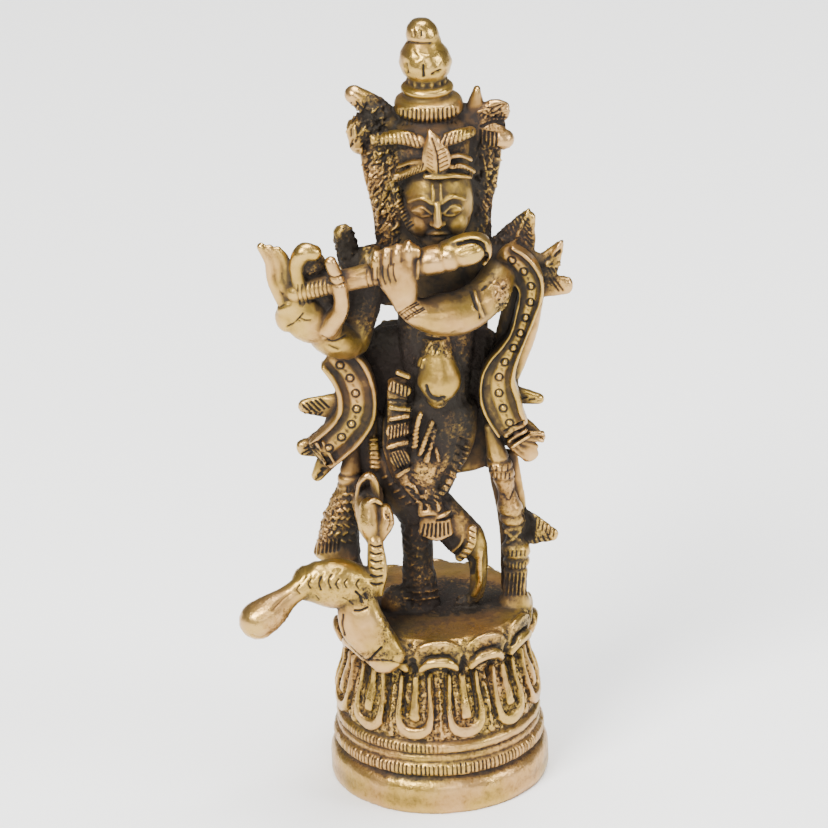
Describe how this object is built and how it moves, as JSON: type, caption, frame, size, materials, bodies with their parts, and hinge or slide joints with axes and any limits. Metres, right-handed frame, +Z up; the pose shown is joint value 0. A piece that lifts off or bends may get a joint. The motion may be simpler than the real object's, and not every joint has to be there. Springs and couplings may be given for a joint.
{
  "type": "krishna figure",
  "caption": "Small cast brass figure playing a flute with crossed legs, between sash cords, with a peacock at its feet, on a round lotus plinth.",
  "frame": {"origin": "centre of the round plinth's flat underside", "axes": "+Z up through the crown, -Y towards the viewer that the figure faces, +X towards that viewer's right"},
  "size_m": [0.0457, 0.0305, 0.1086],
  "materials": {
    "aged_brass": "aged cast brass, worn bright on the raised work, with dark brown patina in the recesses"
  },
  "bodies": {
    "root": {"krishna_figure": "aged_brass"}
  },
  "joints": []
}
